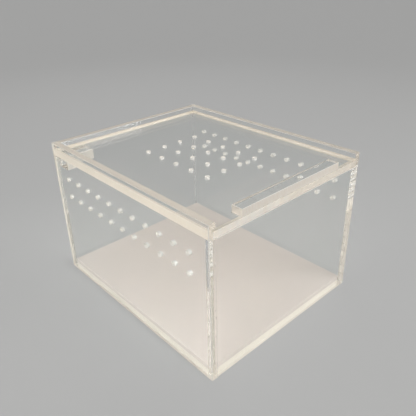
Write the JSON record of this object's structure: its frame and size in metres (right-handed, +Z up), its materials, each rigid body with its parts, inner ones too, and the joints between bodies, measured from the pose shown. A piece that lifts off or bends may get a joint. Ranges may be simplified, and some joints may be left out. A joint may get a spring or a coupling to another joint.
{
  "type": "acrylic terrarium",
  "caption": "Clear acrylic terrarium with a white floor, vented side walls and a vented lid that slides out of routed grooves by a clear handle bar.",
  "frame": {"origin": "centre of the footprint, on the surface that the box stands on", "axes": "+X towards the right wall, -Y towards the front where the lid slides out, +Z up"},
  "size_m": [0.17, 0.208, 0.133],
  "materials": {
    "clear_acrylic": "polished clear faces, with fine-sawn cut edges and broken arrises",
    "white_acrylic": "glossy opaque white"
  },
  "bodies": {
    "tank": {"base_panel": "clear_acrylic", "floor_panel": "white_acrylic", "front_wall": "clear_acrylic", "back_wall": "clear_acrylic", "left_wall": "clear_acrylic", "right_wall": "clear_acrylic", "corner_block": "clear_acrylic"},
    "sliding_lid": {"lid": "clear_acrylic", "lid_handle": "clear_acrylic"}
  },
  "joints": [
    {"name": "lid_slide", "type": "slide", "parent": "tank", "child": "sliding_lid", "axis": [0, -1, 0], "range_m": [0, 0.206]}
  ]
}
